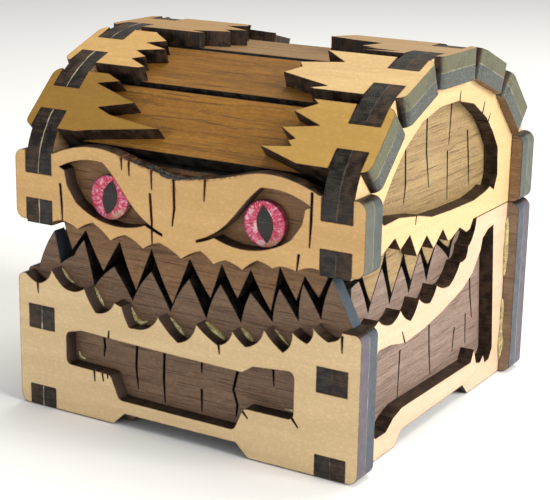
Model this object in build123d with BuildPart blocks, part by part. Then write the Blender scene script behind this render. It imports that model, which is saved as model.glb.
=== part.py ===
from build123d import *
import math
import os

# A small dice chest cut from thin sheet: a lower box and an arched, slatted lid with a toothed
# mouth between them and two glass eyes.  Every wall is two sheets glued face to face, walnut
# inside and maple outside.  Tabs of the side walls pass through notches in the front, the back
# and the lid slats, and two brass hinges join the lid to the box.
# Sizes are in millimetres.  +X is to the right of someone facing the mouth, +Y is towards the
# hinges, +Z is up.  The pieces are drawn about the middle of the wooden box and written about the
# middle of the whole footprint, hinges and eyes included, on the table.

# Sheet and box
ply = 3.2               # thickness of one sheet
box_width = 80.2        # length of the front and back panels
box_depth = 79.4        # over the outer faces of the front and back panels
overhang = 2.7          # front and back panels stand this far past the side walls
seam_height = 39.4      # top of the lower box
seam_gap = 0.1          # between the lower box and the closed lid
fit = 0.1               # play of a tab in its notch, on each side
corner_radius = 2.0     # rounded outer corners of the panels
tooth_gap = 0.2         # upper teeth stay this far from the lower ones
swing_play = 0.2        # lid side walls stay this far behind the front panels

# Tabs of the side walls
mid_tab_low = 17.0      # height of the upper tab of the lower box
mid_tab_high = 21.9
foot_tab_height = 4.3   # tab that stands on the table
lid_tab_height = 5.0    # lower tab of the lid, up from the seam
tab_reach = 4.5         # tab at a bend of the lid, from the bend each way

# Feet
arch_height = 2.65      # gap under the panels, between the feet
arch_slope = 2.8        # width of the slope at each end of the gap
front_foot = 24.0       # length of a foot under the front and back panels
side_front_foot = 14.6  # length of a side wall's front foot, from the front panel
side_back_foot = 16.9   # length of a side wall's back foot
inner_foot_extra = 2.5  # the walnut sheet's feet are this much longer

# Mouth and windows
crack_width = 0.5       # narrow saw cracks in the sheets
tooth_front_bulge = 0.045  # left flanks of the lower teeth bow by this share of their length
tooth_back_bulge = 0.01
upper_tooth_bulge = 0.02
side_tooth_bulge = 0.03
lip_bulge = 0.05
gum_front_bulge = 0.04
gum_back_bulge = 0.16
side_gum_bulge = 0.08
window_round = 1.3      # corners of the windows, where both edges are long enough
gum_left = 1.9          # ends of the gum line, in from the ends of the front panel
gum_right = 4.1
gum_round = 1.5         # upper corners of the lower front sheets, at their ends
teeth_left = 2.9        # ends of the lower front teeth, in from the ends of the panel
teeth_right = 3.6
rear_seam = 16.9        # straight seam behind the corner of the mouth
window_left = 12.2      # front window, from the left end of the panel
window_right = 14.0     # front window, from the right end of the panel
window_crown = 4.06     # lid side windows, below the inner face of the top slat
side_window_front = 5.2  # side windows, from the front end of the wall
side_window_back = 4.3   # side windows, from the back end of the wall

# Lid
lid_wall_height = 15.05  # lid front and back panels, seam to shoulder
ear_rise = 0.6           # lid front panel's ears stop this far above the seam
steep_slope = 43.7       # degrees, lowest slat on each side
easy_slope = 20.9        # degrees, next slat
top_slat_width = 17.2
slat_inset = 0.75        # slats are this much shorter than the panels, at each end
slat_play = 0.1          # between a slat and the bend of the lid

# Eyes
eye_radius = 4.6         # at the widest, the rim of the glass
eye_foot_radius = 4.3    # where the glass meets its card
eye_rim = 1.2            # height of the rim, from the card
eye_dome = 2.0           # height of the dome, from the rim
card_thickness = 0.3     # iris card behind the glass
eye_inset = 13.1         # eye centre, in from the side wall's inner face
eye_rise = 7.45          # eye centre, above the seam

# Floor
floor_clearance = 3.4    # underside of the floor, above the table
floor_tab_spacing = 42.0
floor_tab_width = 6.0
floor_side_tab = 12.0

# Hinges
hinge_inset = 9.0        # hinge middle, in from the side wall's inner face
leaf_width = 15.0
leaf_height = 6.6
leaf_thickness = 0.6
knuckle_radius = 1.3
knuckle_length = 5.0     # the lid's knuckle, in the middle of the hinge
knuckle_play = 0.15      # between knuckles, and round a knuckle
hinge_standoff = 0.1     # knuckle to the wood
pin_radius = 0.6
pin_play = 0.05
pin_head = 0.4
nail_radius = 0.5
nail_length = 5.2
nail_head_radius = 1.1
nail_head_height = 0.5
nail_spacing = 10.0
nail_play = 0.05

# Places worked out from the sizes
wall = 2 * ply
half_width = box_width / 2
half_depth = box_depth / 2
side_out = half_width - overhang
side_mid = side_out - ply
side_in = side_out - wall
front_mid = -half_depth + ply
front_in = -half_depth + wall
back_mid = half_depth - ply
back_in = half_depth - wall
lid_base = seam_height + seam_gap
shoulder = seam_height + lid_wall_height
mouth_back = back_in - rear_seam
floor_top = floor_clearance + ply
slat_half = half_width - slat_inset
side_slat_width = (back_in - front_in - top_slat_width) / (
    2 * (math.cos(math.radians(steep_slope)) + math.cos(math.radians(easy_slope)))
)
axis_y = half_depth + hinge_standoff + knuckle_radius
axis_z = seam_height + seam_gap / 2
eye_z = seam_height + eye_rise
hinge_offset = side_in - hinge_inset
hinge_reach = hinge_standoff + 2 * knuckle_radius
eye_reach = card_thickness + eye_rim + eye_dome - ply
centring = (eye_reach - hinge_reach) / 2

# Outlines, as (along the panel, up from the seam) unless a comment says otherwise.  Each is
# spread between two named places, so that it stretches with its panel.
gum_front = [
    (-38.2, -11.0), (-35.1, -12.7), (-31.4, -9.2), (-28.6, -12.3), (-23.1, -11.8), (-20.3, -16.4),
    (-15.6, -13.5), (-13.8, -14.0), (-12.0, -18.0), (-10.6, -18.0), (-5.0, -14.5), (-0.3, -18.9),
    (4.0, -14.3), (9.0, -17.6), (12.3, -14.1), (15.2, -16.7), (19.3, -12.5), (23.5, -16.2),
    (25.4, -11.8), (28.6, -13.5), (29.8, -10.1), (32.6, -12.1), (33.9, -12.0), (36.0, -10.0),
]
lower_teeth = [
    (-37.2, -10.3), (-33.0, -1.9), (-31.5, -8.7), (-28.0, -6.4), (-25.4, -2.7), (-22.9, -12.0),
    (-17.9, -7.1), (-13.4, -13.4), (-8.8, -6.6), (-4.2, -14.1), (0.2, -6.6), (4.3, -14.0),
    (7.5, -6.4), (12.3, -13.4), (14.3, -6.9), (19.3, -11.9), (20.7, -5.0), (25.0, -10.7),
    (25.8, -3.2), (29.8, -9.4), (31.9, -1.3), (36.5, -9.9),
]
upper_teeth = [
    (-31.0, 0.2), (-30.4, 0.2), (-28.4, -5.2), (-24.9, -0.6), (-20.6, -8.5), (-16.5, -1.7),
    (-12.5, -11.2), (-8.7, -2.0), (-3.7, -12.5), (0.4, -2.5), (5.2, -9.7), (7.8, -2.4),
    (11.4, -8.6), (14.3, -2.4), (18.9, -9.8), (20.7, -0.7), (24.4, -6.7), (26.1, -1.6),
    (29.2, -5.3), (31.0, -1.2),
]
lip_front = [
    (-31.0, 0.8), (-28.2, 1.6), (-24.5, 0.3), (-20.7, 2.2), (-16.4, -0.8), (-12.7, 0.9),
    (-8.5, -1.2), (-4.6, 0.6), (0.5, -1.8), (4.9, 0.5), (7.9, -1.7), (10.7, -0.4), (14.4, -1.7),
    (17.6, 0.7), (21.0, -0.3), (22.7, 0.4), (26.1, 0.0), (28.8, 1.1), (31.0, 1.0),
]
brow = [(0.0, -1.15), (6.0, -0.3), (11.5, 0.9), (16.0, 2.1), (20.5, 2.5), (25.0, 1.9), (30.9, -0.2)]

# Side walls: the first value runs back from the front panel's inner face.
gum_side = [
    (0.0, -11.6), (5.5, -10.7), (11.2, -12.9), (14.8, -11.1), (19.6, -14.5), (23.0, -10.9),
    (28.2, -13.1), (31.2, -10.2), (37.4, -11.8), (42.3, -8.0), (45.2, -7.7), (46.0, -5.4),
    (48.2, -3.7), (49.7, 0.0),
]
lower_side_teeth = [
    (0.0, -3.4), (3.0, -2.8), (7.2, -10.3), (12.4, -2.5), (16.2, -10.8), (20.9, -4.1),
    (24.8, -10.7), (29.2, -3.4), (32.8, -10.2), (36.8, -3.2), (43.6, -8.0), (44.9, -4.6),
    (47.0, -2.8), (49.7, 0.0),
]
upper_side_teeth = [
    (0.0, -0.9), (3.6, -1.1), (7.9, -8.4), (13.4, 0.5), (16.8, -8.9), (21.5, -1.6), (25.4, -8.4),
    (29.5, -1.9), (33.1, -6.9), (37.2, -2.1), (43.0, -5.6), (44.2, -3.7), (46.0, -2.2),
    (48.6, 0.0), (49.7, 0.0),
]
lip_side = [
    (0.0, 0.6), (3.8, 1.2), (10.9, 4.1), (13.4, 1.2), (17.4, 3.3), (20.9, -1.8), (25.1, 1.5),
    (28.6, -2.0), (32.7, 1.1), (35.4, -1.9), (36.8, -2.0), (41.1, -0.4), (44.6, -2.1),
    (46.4, -1.9), (47.9, 0.0), (49.7, 0.0),
]

# Windows: the top edge is measured from the seam and the bottom edge from the table.
front_window_top = [
    (-27.9, -22.0), (-24.0, -21.0), (-16.6, -21.3), (0.4, -21.8), (14.6, -22.0), (17.0, -20.4),
    (26.1, -19.6),
]
front_window_bottom = [
    (26.1, 10.1), (15.0, 10.1), (12.8, 5.2), (-14.6, 5.4), (-16.8, 10.4), (-27.9, 10.6),
]
side_window_top = [
    (-27.9, -16.8), (-21.9, -17.2), (-15.7, -18.6), (-6.9, -18.0), (1.3, -16.7), (11.2, -14.4),
    (16.0, -12.1), (19.7, -7.9), (20.5, -5.4), (23.3, -3.9), (26.0, -3.6),
]
side_window_bottom = [
    (29.2, 6.8), (27.7, 4.6), (25.5, 4.4), (24.5, 6.4), (22.9, 5.2), (20.7, 5.7), (19.2, 9.2),
    (17.7, 6.7), (-15.9, 7.4), (-19.6, 6.4), (-22.7, 4.5), (-27.9, 4.6),
]
# Lid side window, all from the seam, anticlockwise from its lower front corner.
lid_window = [
    (-27.7, 7.7), (-20.5, 7.9), (-11.5, 6.4), (-5.8, 5.0), (2.9, 4.5), (14.5, 4.2), (20.5, 5.0),
    (22.6, 5.6), (24.8, 4.5), (26.3, 7.4), (25.6, 13.6), (22.5, 17.4), (18.7, 21.0), (11.9, 24.9),
    (4.1, 26.6), (-4.1, 26.6), (-11.9, 24.9), (-18.7, 21.0), (-23.5, 16.6), (-27.4, 12.0),
]

# Eye opening, right side, from the eye's centre
eye_top = [(0.3, 7.3), (5.6, 7.1), (11.0, 5.1)]
eye_brow = [(-14.0, -4.9), (-12.2, -4.2), (-9.5, -2.7), (-7.2, -0.8), (-3.9, 3.0), (0.3, 7.3)]
eye_tail = [(-9.9, -3.8), (-11.9, -4.7), (-14.0, -5.4)]
eye_under = [(-9.9, -3.8), (-1.5, -4.95), (6.9, -1.6)]
eye_corner = [(6.9, -1.6), (9.1, 1.6), (9.7, 4.6), (11.0, 5.1)]

# Cracks, each from its first point to its last
front_plank_cracks = [
    [(-20.7, 17.4), (-20.4, 14.8), (-20.7, 12.6)], [(-12.3, 17.4), (-12.6, 12.0), (-12.1, 7.4)],
    [(-5.6, 17.2), (-5.8, 11.0), (-5.5, 5.8)], [(3.3, 17.2), (3.3, 14.0)],
    [(3.3, 10.6), (3.4, 5.8)], [(11.9, 17.2), (10.7, 12.0), (11.7, 9.0), (11.4, 6.6)],
    [(19.6, 18.8), (19.9, 14.6)],
]
front_window_cracks = [
    [(-17.2, 17.7), (-17.0, 19.8)], [(14.6, 9.7), (16.0, 8.2)], [(25.7, 10.6), (27.2, 8.8)],
    [(-20.9, 11.0), (-20.7, 8.2)], [(-18.9, 11.0), (-18.5, 8.6)], [(-17.5, 10.8), (-17.4, 9.4)],
]
gum_cracks = [[(-35.1, -12.4), (-35.0, -14.8)], [(9.2, -17.2), (9.4, -19.3)],
              [(36.0, -10.6), (36.1, -13.9)]]
brow_cracks = [
    [(-28.7, 9.2), (-28.4, 5.0), (-28.3, 1.2)], [(-13.6, 16.8), (-13.5, 14.0)],
    [(-11.8, 16.2), (-11.7, 13.0)], [(-6.5, 15.6), (-6.4, 11.0)],
    [(-6.8, 10.2), (-6.4, 5.0), (-6.3, -0.4)], [(-1.3, 14.6), (-1.1, 8.0), (-1.6, 4.4)],
    [(5.9, 15.0), (5.7, 10.4)], [(29.0, 15.4), (28.9, 10.0), (28.7, 5.0)],
    [(26.5, 3.4), (26.1, -0.3)],
]
# Side cracks: back from the middle of the wall, up from the table or, on the lid, from the seam
side_plank_cracks = [
    [(-11.4, 17.5), (-11.8, 6.9)], [(1.9, 19.5), (2.6, 13.0), (3.6, 7.6)], [(15.0, 14.8), (14.4, 9.6)],
    [(20.6, 16.4), (21.2, 9.4)], [(21.9, 24.4), (22.6, 20.0), (24.2, 14.6)],
]
side_window_cracks = [[(-15.9, 20.8), (-17.4, 23.7)]]
lid_plank_cracks = [
    [(-22.4, 13.5), (-22.6, 8.9)], [(-12.7, 19.4), (-12.1, 12.0), (-12.6, 8.4)],
    [(-3.6, 25.9), (-3.2, 17.3), (-1.4, 9.6)], [(7.9, 25.4), (7.4, 16.8)],
    [(6.9, 15.6), (7.8, 5.2)], [(16.5, 18.4), (17.6, 12.6), (18.6, 6.2)],
]
lid_window_cracks = [[(4.6, 26.4), (4.9, 28.6)], [(-13.2, 7.0), (-13.5, 4.9)],
                     [(16.4, 22.2), (17.4, 24.7)], [(19.6, 20.0), (20.6, 21.6)]]

# Splintered inner ends of the maple slat caps: (in from the slat's end, up the slat)
splinters = {
    ("right", 1): [(17.6, 14.6), (16.2, 13.6), (20.5, 11.4), (13.8, 8.8), (21.5, 7.5), (17.5, 5.3),
                   (18.9, 4.7), (17.6, 3.6), (24.0, 2.8), (15.0, 0.0)],
    ("right", 2): [(23.7, 14.6), (17.9, 10.7), (27.0, 9.1), (25.5, 7.4), (28.2, 4.7), (16.7, 1.5),
                   (19.9, 0.3), (19.0, 0.0)],
    ("right", 3): [(28.0, 17.2), (31.0, 12.3), (25.2, 10.8), (18.0, 9.8), (19.7, 4.3), (16.3, 3.5),
                   (17.7, 2.6), (9.8, 1.9), (17.4, 0.0)],
    ("left", 1): [(13.5, 14.6), (17.1, 13.1), (12.0, 12.0), (23.2, 8.4), (15.2, 6.3), (19.0, 4.9),
                  (31.6, 3.2), (16.5, 0.8), (13.0, 0.0)],
    ("left", 2): [(14.0, 14.6), (18.7, 11.4), (14.5, 10.0), (20.5, 8.2), (14.3, 6.6), (17.9, 4.6),
                  (15.4, 3.2), (20.3, 0.7), (19.0, 0.0)],
    ("left", 3): [(24.0, 17.2), (26.0, 15.0), (22.0, 12.5), (29.4, 8.8), (25.0, 7.2), (27.7, 5.0),
                  (20.0, 1.9), (24.0, 0.7), (23.0, 0.0)],
}


def spread(points, low, high, rise=0.0):
    """The outline stretched so that it runs from low to high, and lifted by rise."""
    start = min(x for x, _ in points)
    scale = (high - low) / (max(x for x, _ in points) - start)
    return [(low + (x - start) * scale, z + rise) for x, z in points]


def jagged_edge(points, bulge_down=0.0, bulge_up=None):
    """Arcs from point to point.  A bulge is a share of the arc's chord, to the left of travel."""
    bulge_up = bulge_down if bulge_up is None else bulge_up
    for start, end in zip(points, points[1:]):
        a, b = Vector(*start), Vector(*end)
        bulge = bulge_up if b.Y > a.Y else bulge_down
        if abs(bulge) < 0.001 or (b - a).length < 0.3:
            Line(a, b)
        else:
            ThreePointArc(a, (a + b) / 2 + (b - a).rotate(Axis.Z, 90) * bulge, b)


def cracks(lines, stretch, rise=0.0, lift=1.0):
    """Narrow tapering cracks, taken out of the current sketch."""
    for line in lines:
        points = [Vector(x * stretch, z * lift + rise) for x, z in line]
        first, last = points[0], points[-1]
        side = (last - first).normalized().rotate(Axis.Z, 90) * crack_width / 2
        middles = points[1:-1]
        left = [p + side for p in middles]
        right = [p - side for p in reversed(middles)]
        with BuildLine() as border:
            Polyline(first + side, *left, last + side * 0.4, last - side * 0.4, *right,
                     first - side, close=True)
        make_face(border.edges(), mode=Mode.SUBTRACT)


def slab(x_low, x_high, z_low, z_high, mode=Mode.ADD):
    """A rectangle between two corners, in the current sketch."""
    with Locations(((x_low + x_high) / 2, (z_low + z_high) / 2)):
        Rectangle(x_high - x_low, z_high - z_low, mode=mode)


def arch(low, high):
    """The gap between two feet, taken out of the current sketch."""
    with BuildLine() as border:
        Polyline((low, -1), (low, 0), (low + arch_slope, arch_height),
                 (high - arch_slope, arch_height), (high, 0), (high, -1), close=True)
    make_face(border.edges(), mode=Mode.SUBTRACT)


def wall_notches(z_low, z_high):
    """Notches for the side walls' tabs, near both ends of a front or back panel."""
    for side in (-1, 1):
        ends = sorted((side * (side_in - fit), side * (side_out + fit)))
        slab(ends[0], ends[1], z_low, z_high, mode=Mode.SUBTRACT)


def box_panel(height):
    """Blank of a front or back panel of the lower box, with its notches and feet."""
    with Locations((0, height / 2)):
        RectangleRounded(box_width, height, corner_radius)
    wall_notches(mid_tab_low - fit, mid_tab_high + fit)
    wall_notches(-1, foot_tab_height + fit)


def floor_slots():
    """Slots of the inner front and back sheets, for the floor's tabs."""
    for x in (-floor_tab_spacing / 2, floor_tab_spacing / 2):
        half = floor_tab_width / 2 + fit
        slab(x - half, x + half, floor_clearance - fit, floor_top + fit, mode=Mode.SUBTRACT)


def above(points, bulge_down=0.0, bulge_up=None):
    """Takes away everything of the current sketch that is above the outline."""
    low, high = points[0], points[-1]
    far, top = box_width, 3 * seam_height
    with BuildLine() as border:
        jagged_edge(points, bulge_down, bulge_up)
        Polyline(high, (far, high[1]), (far, top), (-far, top), (-far, low[1]), low)
    make_face(border.edges(), mode=Mode.SUBTRACT)
    ends = [
        corner for corner in vertices()
        if abs(corner.X) > half_width - 0.001 and corner.Y > seam_height / 2
    ]
    fillet(ends, gum_round)


def tooth_clearance(lower, bulge_down, bulge_up):
    """The lower teeth of one wall and everything under them, grown by the gap to the upper ones."""
    with BuildSketch(Plane.XY) as region:
        with BuildLine():
            jagged_edge(lower, bulge_down, bulge_up)
            Polyline(lower[-1], (lower[-1][0], 0), (lower[0][0], 0), lower[0])
        make_face()
        offset(amount=tooth_gap)
    return region.sketch


def ragged_window(outline):
    """An opening, taken out of the current sketch, with rounded corners between long edges."""
    with BuildSketch(Plane.XY) as opening:
        with BuildLine():
            Polyline(*outline, close=True)
        make_face()
        sharp = [
            corner
            for corner in opening.vertices()
            if any(edge.length < 3 * window_round and corner in edge.vertices()
                   for edge in opening.edges())
        ]
        fillet([corner for corner in opening.vertices() if corner not in sharp], window_round)
    add(opening.sketch, mode=Mode.SUBTRACT)


def plank_window(top, bottom, low, high):
    """A window whose top edge is measured from the seam and whose bottom edge from the table."""
    ragged_window(spread([(x, z + seam_height) for x, z in top] + bottom, low, high))


def hinge_pilots(side_of_seam):
    """Places of the hinge nails above (1) or below (-1) the seam, as (x, z)."""
    height = axis_z + side_of_seam * (knuckle_radius + leaf_height) / 2 * 1.1
    return [
        (hinge + nail, height)
        for hinge in (-hinge_offset, hinge_offset)
        for nail in (-nail_spacing / 2, nail_spacing / 2)
    ]


def save(builder, name):
    """Writes a piece, moved so that the middle of the whole footprint is the origin."""
    piece = builder.part.moved(Location((0, centring, 0)))
    piece.label = name
    export_step(piece, f"parts/{name}.step")


os.makedirs("parts", exist_ok=True)

# How far the drawn eyes, cracks and splinters stretch with the front panels, with the side walls
# and, on the lid's side walls, with its height
across = side_in / lip_front[-1][0]
eye_x = side_in - eye_inset * across
along = (mouth_back - front_in) / gum_side[-1][0]
crown_rise = side_slat_width * (
    math.sin(math.radians(steep_slope)) + math.sin(math.radians(easy_slope))
)
lift = (lid_wall_height + crown_rise - window_crown) / max(z for _, z in lid_window)

front_foot_end = half_width - front_foot
side_foot_low = front_in + side_front_foot
side_foot_high = back_in - side_back_foot
gum_line = spread(gum_front, gum_left - half_width, half_width - gum_right, seam_height)
lower_front = spread(lower_teeth, teeth_left - half_width, half_width - teeth_right, seam_height)
lower_side = spread(lower_side_teeth, front_in, mouth_back, seam_height)

# Lower box, front panel
with BuildPart() as body_front_outer:
    with BuildSketch(Plane.XZ.offset(-front_mid)):
        box_panel(seam_height)
        arch(-front_foot_end, front_foot_end)
        above(gum_line, -gum_front_bulge, -gum_back_bulge)
        plank_window(front_window_top, front_window_bottom, window_left - half_width,
                     half_width - window_right)
        cracks(front_window_cracks, across)
        cracks(gum_cracks, across, seam_height)
    extrude(amount=ply)
save(body_front_outer, "body_front_outer")

with BuildPart() as body_front_inner:
    with BuildSketch(Plane.XZ.offset(-front_in)):
        box_panel(seam_height)
        floor_slots()
        arch(inner_foot_extra - front_foot_end, front_foot_end - inner_foot_extra)
        above(lower_front, tooth_back_bulge, tooth_front_bulge)
        cracks(front_plank_cracks, across)
    extrude(amount=ply)
save(body_front_inner, "body_front_inner")

# Lower box, back panel
with BuildPart() as body_back_outer:
    with BuildSketch(Plane.XZ.offset(-half_depth)):
        box_panel(seam_height)
        arch(-front_foot_end, front_foot_end)
        plank_window(front_window_top, front_window_bottom, window_left - half_width,
                     half_width - window_right)
        cracks(front_window_cracks, across)
        with Locations(*hinge_pilots(-1)):
            Circle(nail_radius + nail_play, mode=Mode.SUBTRACT)
    extrude(amount=ply)
save(body_back_outer, "body_back_outer")

with BuildPart() as body_back_inner:
    with BuildSketch(Plane.XZ.offset(-back_mid)):
        box_panel(seam_height)
        floor_slots()
        arch(inner_foot_extra - front_foot_end, front_foot_end - inner_foot_extra)
        cracks(front_plank_cracks, across)
    extrude(amount=ply)
    with BuildSketch(Plane.XZ.offset(-back_mid)):
        with Locations(*hinge_pilots(-1)):
            Circle(nail_radius + nail_play)
    extrude(amount=nail_length - ply, mode=Mode.SUBTRACT)
save(body_back_inner, "body_back_inner")


def box_side(top, bulge_down, bulge_up):
    """Blank of a side wall of the lower box: its tabs, and its top edge along the outline."""
    with BuildLine() as border:
        jagged_edge(top, bulge_down, bulge_up)
        Polyline(top[-1], (back_in, seam_height), (back_in, 0), (front_in, 0), top[0])
    make_face(border.edges())
    for low, high in ((-half_depth, front_in), (back_in, half_depth)):
        slab(low, high, mid_tab_low, mid_tab_high)
        slab(low, high, 0, foot_tab_height)


# Lower box, side walls
for side, name in ((-1, "left"), (1, "right")):
    with BuildPart() as body_side_outer:
        with BuildSketch(Plane.YZ.offset(side * side_mid)):
            box_side(spread(gum_side, front_in, mouth_back, seam_height), -side_gum_bulge,
                     -side_gum_bulge)
            arch(side_foot_low, side_foot_high)
            plank_window(side_window_top, side_window_bottom, front_in + side_window_front,
                         back_in - side_window_back)
            cracks(side_window_cracks, along)
        extrude(amount=side * ply)
    save(body_side_outer, f"body_{name}_outer")

    with BuildPart() as body_side_inner:
        with BuildSketch(Plane.YZ.offset(side * side_in)):
            box_side(lower_side, side_tooth_bulge, side_tooth_bulge)
            arch(side_foot_low + inner_foot_extra, side_foot_high - inner_foot_extra)
            cracks(side_plank_cracks, along)
            half = floor_side_tab / 2 + fit
            slab(-half, half, floor_clearance - fit, floor_top + fit, mode=Mode.SUBTRACT)
        extrude(amount=side * ply)
    save(body_side_inner, f"body_{name}_inner")

# Floor, tabbed into the four inner sheets
with BuildPart() as floor_panel:
    with BuildSketch(Plane.XY.offset(floor_clearance)):
        Rectangle(2 * (side_in - fit), 2 * (back_in - fit))
        for x in (-floor_tab_spacing / 2, floor_tab_spacing / 2):
            slab(x - floor_tab_width / 2, x + floor_tab_width / 2, front_mid, back_mid)
        slab(-side_mid, side_mid, -floor_side_tab / 2, floor_side_tab / 2)
    extrude(amount=ply)
save(floor_panel, "floor_panel")


def eye_opening(side):
    """The opening in front of one eye, taken out of the current sketch."""
    def at_eye(points):
        return [(side * (eye_x + x * across), eye_z + z) for x, z in points]

    with BuildLine() as border:
        ThreePointArc(*at_eye(eye_top))
        Spline(*at_eye(eye_brow))
        Line(*at_eye((eye_brow[0], eye_tail[-1])))
        Spline(*at_eye(eye_tail))
        ThreePointArc(*at_eye(eye_under))
        Polyline(*at_eye(eye_corner))
    make_face(border.edges(), mode=Mode.SUBTRACT)


def lid_panel(bottom, bulge_down, bulge_up, ear_base):
    """Blank of the lid's front panel, its lower edge along the outline between two ears."""
    with Locations((0, (ear_base + shoulder) / 2)):
        RectangleRounded(box_width, shoulder - ear_base, corner_radius)
    with BuildLine() as border:
        jagged_edge(bottom, bulge_down, bulge_up)
        Polyline(bottom[-1], (bottom[-1][0], shoulder), (bottom[0][0], shoulder), bottom[0])
    make_face(border.edges())


# Lid, front panel
with BuildPart() as lid_front_outer:
    with BuildSketch(Plane.XZ.offset(-front_mid)):
        lip = spread(lip_front, -side_in, side_in, seam_height)
        lid_panel(lip, lip_bulge, lip_bulge, seam_height + ear_rise)
        with BuildLine():
            jagged_edge(lip, lip_bulge)
            Polyline(lip[-1], (side_in, lip[-1][1] - seam_height),
                     (-side_in, lip[-1][1] - seam_height), lip[0])
        make_face(mode=Mode.SUBTRACT)
        brow_line = [(x * across, z + shoulder) for x, z in brow]
        for side in (-1, 1):
            with BuildLine():
                half_brow = Spline(*[(side * x, z) for x, z in brow_line])
                Polyline(half_brow @ 1, (side * brow_line[-1][0], seam_height + eye_rise),
                         (0, seam_height + eye_rise), half_brow @ 0)
            make_face()
        with BuildLine():
            Spline(*[(-x, z) for x, z in reversed(brow_line[:3])])
            Spline(*brow_line[:3])
            Polyline(brow_line[2], (-brow_line[2][0], brow_line[2][1]))
        make_face(mode=Mode.SUBTRACT)
        for side in (-1, 1):
            eye_opening(side)
        cracks(brow_cracks, across, seam_height)
        wall_notches(shoulder - tab_reach - fit, shoulder + wall)
        wall_notches(seam_height - 1, lid_base + lid_tab_height + fit)
    extrude(amount=ply)
save(lid_front_outer, "lid_front_outer")

with BuildPart() as lid_front_inner:
    with BuildSketch(Plane.XZ.offset(-front_in)):
        teeth = spread(upper_teeth, -side_in, side_in, seam_height)
        lid_panel(teeth, -upper_tooth_bulge, 0.0, seam_height + ear_rise)
        add(tooth_clearance(lower_front, tooth_back_bulge, tooth_front_bulge), mode=Mode.SUBTRACT)
        wall_notches(shoulder - tab_reach - fit, shoulder + wall)
        wall_notches(seam_height - 1, lid_base + lid_tab_height + fit)
    extrude(amount=ply)
save(lid_front_inner, "lid_front_inner")


def lid_back_panel():
    """Blank of the lid's back panel, with its notches."""
    with Locations((0, (lid_base + shoulder) / 2)):
        RectangleRounded(box_width, shoulder - lid_base, corner_radius)
    wall_notches(shoulder - tab_reach - fit, shoulder + wall)
    wall_notches(seam_height - 1, lid_base + lid_tab_height + fit)


# Lid, back panel
with BuildPart() as lid_back_outer:
    with BuildSketch(Plane.XZ.offset(-half_depth)):
        lid_back_panel()
        with Locations(*hinge_pilots(1)):
            Circle(nail_radius + nail_play, mode=Mode.SUBTRACT)
    extrude(amount=ply)
save(lid_back_outer, "lid_back_outer")

with BuildPart() as lid_back_inner:
    with BuildSketch(Plane.XZ.offset(-back_mid)):
        lid_back_panel()
    extrude(amount=ply)
    with BuildSketch(Plane.XZ.offset(-back_mid)):
        with Locations(*hinge_pilots(1)):
            Circle(nail_radius + nail_play)
    extrude(amount=nail_length - ply, mode=Mode.SUBTRACT)
save(lid_back_inner, "lid_back_inner")

# Bends of the lid, in the (y, z) plane: where the slats' inner faces meet.  Each run has its
# direction, starting with the front panel, going up, and ending with the back panel, going down.
run_angles = [90, steep_slope, easy_slope, 0, -easy_slope, -steep_slope, -90]
run_widths = [side_slat_width, side_slat_width, top_slat_width, side_slat_width, side_slat_width]
runs = [Vector(1, 0).rotate(Axis.Z, angle) for angle in run_angles]
bends = [Vector(front_in, shoulder)]
for run, width in zip(runs[1:-1], run_widths):
    bends.append(bends[-1] + run * width)


def lid_tabs():
    """Tabs of a lid side wall: one round each bend, and one near the seam at each end."""
    for bend, before, after in zip(bends, runs, runs[1:]):
        outward_before = before.rotate(Axis.Z, 90) * wall
        outward_after = after.rotate(Axis.Z, 90) * wall
        low = bend - before * tab_reach
        high = bend + after * tab_reach
        with BuildLine() as border:
            Line(low, low + outward_before)
            TangentArc(low + outward_before, high + outward_after, tangent=before)
            Polyline(high + outward_after, high, bend, low)
        make_face(border.edges())
    for low, high in ((-half_depth, front_in), (back_in, half_depth)):
        slab(low, high, lid_base, lid_base + lid_tab_height)


def lid_side(bottom, bulge, front):
    """Blank of a lid side wall, its lower edge along the outline."""
    with BuildLine() as border:
        jagged_edge(bottom, bulge)
        Polyline(bottom[-1], (mouth_back, lid_base), (back_in, lid_base), *reversed(bends),
                 (front_in, lid_base + lid_tab_height / 2),
                 (front, lid_base + lid_tab_height / 2), bottom[0])
    make_face(border.edges())
    lid_tabs()


# Lid, side walls
for side, name in ((-1, "left"), (1, "right")):
    with BuildPart() as lid_side_outer:
        with BuildSketch(Plane.YZ.offset(side * side_mid)):
            lip = spread(lip_side, front_in + swing_play, mouth_back, lid_base)
            lid_side(lip[:-1], 0.0, front_in + swing_play)
            ragged_window(spread([(y, z * lift) for y, z in lid_window], front_in + side_window_front,
                                 back_in - side_window_back - overhang, seam_height))
            cracks(lid_window_cracks, along, seam_height, lift)
        extrude(amount=side * ply)
    save(lid_side_outer, f"lid_{name}_outer")

    with BuildPart() as lid_side_inner:
        with BuildSketch(Plane.YZ.offset(side * side_in)):
            teeth = spread(upper_side_teeth, front_in + swing_play, mouth_back, lid_base)
            lid_side(teeth[:-1], -side_tooth_bulge, front_in + swing_play)
            add(tooth_clearance(lower_side[:-1], side_tooth_bulge, side_tooth_bulge),
                mode=Mode.SUBTRACT)
            cracks(lid_plank_cracks, along, seam_height, lift)
        extrude(amount=side * ply)
    save(lid_side_inner, f"lid_{name}_inner")


def slat_notches(width):
    """Notches for the side walls' tabs, at the four corners of a slat."""
    for z_low, z_high in ((-1, tab_reach + fit), (width - tab_reach - fit, width + 1)):
        wall_notches(z_low, z_high)


def cap_splinters(side_name, number):
    """Splinters of a cap.  Behind the top slat they repeat the front ones, turned half round."""
    if (side_name, number) in splinters:
        return splinters[(side_name, number)]
    facing = splinters[("left" if side_name == "right" else "right", 6 - number)]
    width = facing[0][1]
    return [(inward, width - up) for inward, up in reversed(facing)]


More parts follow.
